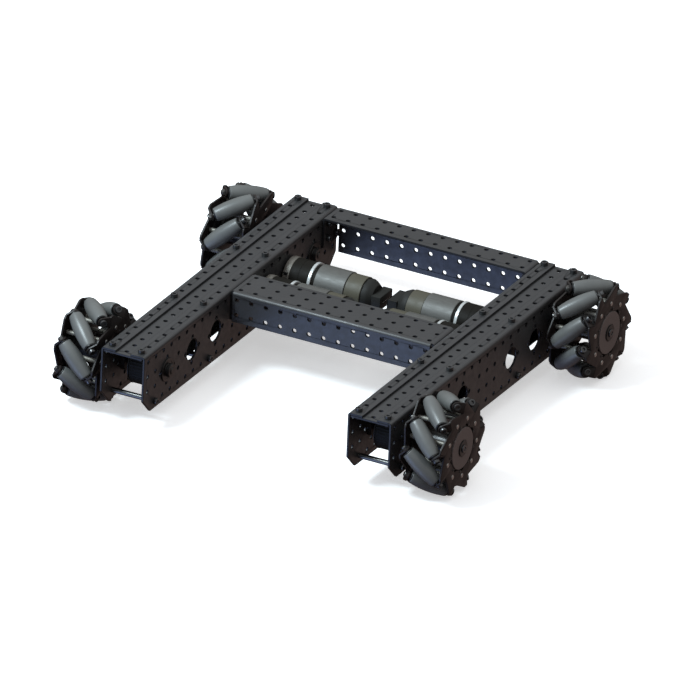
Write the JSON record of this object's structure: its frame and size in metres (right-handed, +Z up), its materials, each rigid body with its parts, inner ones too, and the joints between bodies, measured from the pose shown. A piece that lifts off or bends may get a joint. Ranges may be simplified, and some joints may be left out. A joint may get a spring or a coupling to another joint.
{
  "type": "four wheel robot chassis",
  "caption": "Perforated black sheet-metal robot chassis: two boxed rails, cross members, belt-driven roller wheels for driving in any direction, and gearmotors between the rails.",
  "frame": {"origin": "on the floor under the middle of the chassis", "axes": "+X to the right across the chassis, +Y to the rear along the rails, +Z up"},
  "size_m": [0.434, 0.4041, 0.1002],
  "materials": {
    "frame_black": "satin black anodised sheet",
    "cage_black": "satin black",
    "hub_brown": "dull bronze-grey anodised",
    "roller_rubber": "matte grey-green rubber",
    "pulley_black": "black anodised",
    "belt_rubber": "matte black",
    "motor_metal": "satin grey can, black gearbox, olive band",
    "bearing_steel": "dark steel",
    "screw_black": "black oxide, shiny",
    "standoff_steel": "dark grey steel"
  },
  "bodies": {
    "chassis": {"left_rail_outer_plate": "frame_black", "left_rail_inner_plate": "frame_black", "right_rail_outer_plate": "frame_black", "right_rail_inner_plate": "frame_black", "rail_top_plates": "frame_black", "middle_cross_channel": "frame_black", "rear_cross_angle": "frame_black", "gearmotors": "motor_metal", "drive_belts": "belt_rubber", "axle_bearings": "bearing_steel", "frame_screws": "screw_black", "rail_standoffs": "standoff_steel"},
    "front_left_wheel": {"front_left_wheel_cage": "cage_black", "front_left_axle_and_hub": "hub_brown"},
    "front_left_motor_pulley": {"front_left_motor_pulley": "pulley_black"},
    "front_left_roller_1": {"front_left_roller_1": "roller_rubber"},
    "front_left_roller_2": {"front_left_roller_2": "roller_rubber"},
    "front_left_roller_3": {"front_left_roller_3": "roller_rubber"},
    "front_left_roller_4": {"front_left_roller_4": "roller_rubber"},
    "front_left_roller_5": {"front_left_roller_5": "roller_rubber"},
    "front_left_roller_6": {"front_left_roller_6": "roller_rubber"},
    "front_left_roller_7": {"front_left_roller_7": "roller_rubber"},
    "front_left_roller_8": {"front_left_roller_8": "roller_rubber"},
    "front_left_roller_9": {"front_left_roller_9": "roller_rubber"},
    "front_right_wheel": {"front_right_wheel_cage": "cage_black", "front_right_axle_and_hub": "hub_brown"},
    "front_right_motor_pulley": {"front_right_motor_pulley": "pulley_black"},
    "front_right_roller_1": {"front_right_roller_1": "roller_rubber"},
    "front_right_roller_2": {"front_right_roller_2": "roller_rubber"},
    "front_right_roller_3": {"front_right_roller_3": "roller_rubber"},
    "front_right_roller_4": {"front_right_roller_4": "roller_rubber"},
    "front_right_roller_5": {"front_right_roller_5": "roller_rubber"},
    "front_right_roller_6": {"front_right_roller_6": "roller_rubber"},
    "front_right_roller_7": {"front_right_roller_7": "roller_rubber"},
    "front_right_roller_8": {"front_right_roller_8": "roller_rubber"},
    "front_right_roller_9": {"front_right_roller_9": "roller_rubber"},
    "rear_left_wheel": {"rear_left_wheel_cage": "cage_black", "rear_left_axle_and_hub": "hub_brown"},
    "rear_left_motor_pulley": {"rear_left_motor_pulley": "pulley_black"},
    "rear_left_roller_1": {"rear_left_roller_1": "roller_rubber"},
    "rear_left_roller_2": {"rear_left_roller_2": "roller_rubber"},
    "rear_left_roller_3": {"rear_left_roller_3": "roller_rubber"},
    "rear_left_roller_4": {"rear_left_roller_4": "roller_rubber"},
    "rear_left_roller_5": {"rear_left_roller_5": "roller_rubber"},
    "rear_left_roller_6": {"rear_left_roller_6": "roller_rubber"},
    "rear_left_roller_7": {"rear_left_roller_7": "roller_rubber"},
    "rear_left_roller_8": {"rear_left_roller_8": "roller_rubber"},
    "rear_left_roller_9": {"rear_left_roller_9": "roller_rubber"},
    "rear_right_wheel": {"rear_right_wheel_cage": "cage_black", "rear_right_axle_and_hub": "hub_brown"},
    "rear_right_motor_pulley": {"rear_right_motor_pulley": "pulley_black"},
    "rear_right_roller_1": {"rear_right_roller_1": "roller_rubber"},
    "rear_right_roller_2": {"rear_right_roller_2": "roller_rubber"},
    "rear_right_roller_3": {"rear_right_roller_3": "roller_rubber"},
    "rear_right_roller_4": {"rear_right_roller_4": "roller_rubber"},
    "rear_right_roller_5": {"rear_right_roller_5": "roller_rubber"},
    "rear_right_roller_6": {"rear_right_roller_6": "roller_rubber"},
    "rear_right_roller_7": {"rear_right_roller_7": "roller_rubber"},
    "rear_right_roller_8": {"rear_right_roller_8": "roller_rubber"},
    "rear_right_roller_9": {"rear_right_roller_9": "roller_rubber"}
  },
  "joints": [
    {"name": "front_left_wheel_spin", "type": "hinge", "parent": "chassis", "child": "front_left_wheel", "pos_m": [-0.1915, -0.152, 0.05], "axis": [1, 0, 0], "continuous": true},
    {"name": "front_left_pulley_spin", "type": "hinge", "parent": "chassis", "child": "front_left_motor_pulley", "pos_m": [-0.136, 0.0505, 0.05], "axis": [1, 0, 0], "continuous": true},
    {"name": "front_left_roller_1_spin", "type": "hinge", "parent": "front_left_wheel", "child": "front_left_roller_1", "pos_m": [-0.1915, -0.11126, 0.05792], "axis": [0.7071, -0.1349, 0.6941], "continuous": true},
    {"name": "front_left_roller_2_spin", "type": "hinge", "parent": "front_left_wheel", "child": "front_left_roller_2", "pos_m": [-0.1915, -0.12588, 0.08225], "axis": [0.7071, -0.5495, 0.445], "continuous": true},
    {"name": "front_left_roller_3_spin", "type": "hinge", "parent": "front_left_wheel", "child": "front_left_roller_3", "pos_m": [-0.1915, -0.15272, 0.09149], "axis": [0.7071, -0.707, -0.0123], "continuous": true},
    {"name": "front_left_roller_4_spin", "type": "hinge", "parent": "front_left_wheel", "child": "front_left_roller_4", "pos_m": [-0.1915, -0.17923, 0.08132], "axis": [0.7071, -0.5337, -0.4639], "continuous": true},
    {"name": "front_left_roller_5_spin", "type": "hinge", "parent": "front_left_wheel", "child": "front_left_roller_5", "pos_m": [-0.1915, -0.19299, 0.05649], "axis": [0.7071, -0.1106, -0.6984], "continuous": true},
    {"name": "front_left_roller_6_spin", "type": "hinge", "parent": "front_left_wheel", "child": "front_left_roller_6", "pos_m": [-0.1915, -0.18757, 0.02863], "axis": [0.7071, 0.3642, -0.6061], "continuous": true},
    {"name": "front_left_roller_7_spin", "type": "hinge", "parent": "front_left_wheel", "child": "front_left_roller_7", "pos_m": [-0.1915, -0.16551, 0.01076], "axis": [0.7071, 0.6686, -0.2302], "continuous": true},
    {"name": "front_left_roller_8_spin", "type": "hinge", "parent": "front_left_wheel", "child": "front_left_roller_8", "pos_m": [-0.1915, -0.13713, 0.01126], "axis": [0.7071, 0.6601, 0.2534], "continuous": true},
    {"name": "front_left_roller_9_spin", "type": "hinge", "parent": "front_left_wheel", "child": "front_left_roller_9", "pos_m": [-0.1915, -0.1157, 0.02988], "axis": [0.7071, 0.3428, 0.6184], "continuous": true},
    {"name": "front_right_wheel_spin", "type": "hinge", "parent": "chassis", "child": "front_right_wheel", "pos_m": [0.1915, -0.152, 0.05], "axis": [1, 0, 0], "continuous": true},
    {"name": "front_right_pulley_spin", "type": "hinge", "parent": "chassis", "child": "front_right_motor_pulley", "pos_m": [0.136, 0.0505, 0.05], "axis": [1, 0, 0], "continuous": true},
    {"name": "front_right_roller_1_spin", "type": "hinge", "parent": "front_right_wheel", "child": "front_right_roller_1", "pos_m": [0.1915, -0.1172, 0.0726], "axis": [0.7071, -0.3851, 0.593], "continuous": true},
    {"name": "front_right_roller_2_spin", "type": "hinge", "parent": "front_right_wheel", "child": "front_right_roller_2", "pos_m": [0.1915, -0.13987, 0.08969], "axis": [0.7071, -0.6762, 0.2067], "continuous": true},
    {"name": "front_right_roller_3_spin", "type": "hinge", "parent": "front_right_wheel", "child": "front_right_roller_3", "pos_m": [0.1915, -0.16822, 0.0882], "axis": [0.7071, -0.6509, -0.2763], "continuous": true},
    {"name": "front_right_roller_4_spin", "type": "hinge", "parent": "front_right_wheel", "child": "front_right_roller_4", "pos_m": [0.1915, -0.18898, 0.06884], "axis": [0.7071, -0.321, -0.63], "continuous": true},
    {"name": "front_right_roller_5_spin", "type": "hinge", "parent": "front_right_wheel", "child": "front_right_roller_5", "pos_m": [0.1915, -0.19244, 0.04066], "axis": [0.7071, 0.1591, -0.689], "continuous": true},
    {"name": "front_right_roller_6_spin", "type": "hinge", "parent": "front_right_wheel", "child": "front_right_roller_6", "pos_m": [0.1915, -0.17698, 0.01686], "axis": [0.7071, 0.5647, -0.4255], "continuous": true},
    {"name": "front_right_roller_7_spin", "type": "hinge", "parent": "front_right_wheel", "child": "front_right_roller_7", "pos_m": [0.1915, -0.14983, 0.00856], "axis": [0.7071, 0.7061, 0.037], "continuous": true},
    {"name": "front_right_roller_8_spin", "type": "hinge", "parent": "front_right_wheel", "child": "front_right_roller_8", "pos_m": [0.1915, -0.1237, 0.01965], "axis": [0.7071, 0.5171, 0.4822], "continuous": true},
    {"name": "front_right_roller_9_spin", "type": "hinge", "parent": "front_right_wheel", "child": "front_right_roller_9", "pos_m": [0.1915, -0.11081, 0.04494], "axis": [0.7071, 0.0862, 0.7018], "continuous": true},
    {"name": "rear_left_wheel_spin", "type": "hinge", "parent": "chassis", "child": "rear_left_wheel", "pos_m": [-0.1915, 0.152, 0.05], "axis": [1, 0, 0], "continuous": true},
    {"name": "rear_left_pulley_spin", "type": "hinge", "parent": "chassis", "child": "rear_left_motor_pulley", "pos_m": [-0.136, 0.0995, 0.05], "axis": [1, 0, 0], "continuous": true},
    {"name": "rear_left_roller_1_spin", "type": "hinge", "parent": "rear_left_wheel", "child": "rear_left_roller_1", "pos_m": [-0.1915, 0.18514, 0.07498], "axis": [0.7071, 0.4255, -0.5647], "continuous": true},
    {"name": "rear_left_roller_2_spin", "type": "hinge", "parent": "rear_left_wheel", "child": "rear_left_roller_2", "pos_m": [-0.1915, 0.16134, 0.09044], "axis": [0.7071, 0.689, -0.1591], "continuous": true},
    {"name": "rear_left_roller_3_spin", "type": "hinge", "parent": "rear_left_wheel", "child": "rear_left_roller_3", "pos_m": [-0.1915, 0.13316, 0.08698], "axis": [0.7071, 0.63, 0.321], "continuous": true},
    {"name": "rear_left_roller_4_spin", "type": "hinge", "parent": "rear_left_wheel", "child": "rear_left_roller_4", "pos_m": [-0.1915, 0.1138, 0.06622], "axis": [0.7071, 0.2763, 0.6509], "continuous": true},
    {"name": "rear_left_roller_5_spin", "type": "hinge", "parent": "rear_left_wheel", "child": "rear_left_roller_5", "pos_m": [-0.1915, 0.11231, 0.03787], "axis": [0.7071, -0.2067, 0.6762], "continuous": true},
    {"name": "rear_left_roller_6_spin", "type": "hinge", "parent": "rear_left_wheel", "child": "rear_left_roller_6", "pos_m": [-0.1915, 0.1294, 0.0152], "axis": [0.7071, -0.593, 0.3851], "continuous": true},
    {"name": "rear_left_roller_7_spin", "type": "hinge", "parent": "rear_left_wheel", "child": "rear_left_roller_7", "pos_m": [-0.1915, 0.15706, 0.00881], "axis": [0.7071, -0.7018, -0.0862], "continuous": true},
    {"name": "rear_left_roller_8_spin", "type": "hinge", "parent": "rear_left_wheel", "child": "rear_left_roller_8", "pos_m": [-0.1915, 0.18235, 0.0217], "axis": [0.7071, -0.4822, -0.5171], "continuous": true},
    {"name": "rear_left_roller_9_spin", "type": "hinge", "parent": "rear_left_wheel", "child": "rear_left_roller_9", "pos_m": [-0.1915, 0.19344, 0.04783], "axis": [0.7071, -0.037, -0.7061], "continuous": true},
    {"name": "rear_right_wheel_spin", "type": "hinge", "parent": "chassis", "child": "rear_right_wheel", "pos_m": [0.1915, 0.152, 0.05], "axis": [1, 0, 0], "continuous": true},
    {"name": "rear_right_pulley_spin", "type": "hinge", "parent": "chassis", "child": "rear_right_motor_pulley", "pos_m": [0.136, 0.0995, 0.05], "axis": [1, 0, 0], "continuous": true},
    {"name": "rear_right_roller_1_spin", "type": "hinge", "parent": "rear_right_wheel", "child": "rear_right_roller_1", "pos_m": [0.1915, 0.19334, 0.05362], "axis": [0.7071, 0.0616, -0.7044], "continuous": true},
    {"name": "rear_right_roller_2_spin", "type": "hinge", "parent": "rear_right_wheel", "child": "rear_right_roller_2", "pos_m": [0.1915, 0.18134, 0.07934], "axis": [0.7071, 0.5, -0.5], "continuous": true},
    {"name": "rear_right_roller_3_spin", "type": "hinge", "parent": "rear_right_wheel", "child": "rear_right_roller_3", "pos_m": [0.1915, 0.15562, 0.09134], "axis": [0.7071, 0.7044, -0.0616], "continuous": true},
    {"name": "rear_right_roller_4_spin", "type": "hinge", "parent": "rear_right_wheel", "child": "rear_right_roller_4", "pos_m": [0.1915, 0.1282, 0.08399], "axis": [0.7071, 0.5792, 0.4056], "continuous": true},
    {"name": "rear_right_roller_5_spin", "type": "hinge", "parent": "rear_right_wheel", "child": "rear_right_roller_5", "pos_m": [0.1915, 0.11191, 0.06074], "axis": [0.7071, 0.183, 0.683], "continuous": true},
    {"name": "rear_right_roller_6_spin", "type": "hinge", "parent": "rear_right_wheel", "child": "rear_right_roller_6", "pos_m": [0.1915, 0.11439, 0.03246], "axis": [0.7071, -0.2988, 0.6409], "continuous": true},
    {"name": "rear_right_roller_7_spin", "type": "hinge", "parent": "rear_right_wheel", "child": "rear_right_roller_7", "pos_m": [0.1915, 0.13446, 0.01239], "axis": [0.7071, -0.6409, 0.2988], "continuous": true},
    {"name": "rear_right_roller_8_spin", "type": "hinge", "parent": "rear_right_wheel", "child": "rear_right_roller_8", "pos_m": [0.1915, 0.16274, 0.00991], "axis": [0.7071, -0.683, -0.183], "continuous": true},
    {"name": "rear_right_roller_9_spin", "type": "hinge", "parent": "rear_right_wheel", "child": "rear_right_roller_9", "pos_m": [0.1915, 0.18599, 0.0262], "axis": [0.7071, -0.4056, -0.5792], "continuous": true}
  ],
  "couplings": [
    {"joint": "front_left_pulley_spin", "follows": "front_left_wheel_spin", "ratio": 1},
    {"joint": "front_right_pulley_spin", "follows": "front_right_wheel_spin", "ratio": 1},
    {"joint": "rear_left_pulley_spin", "follows": "rear_left_wheel_spin", "ratio": 1},
    {"joint": "rear_right_pulley_spin", "follows": "rear_right_wheel_spin", "ratio": 1}
  ]
}
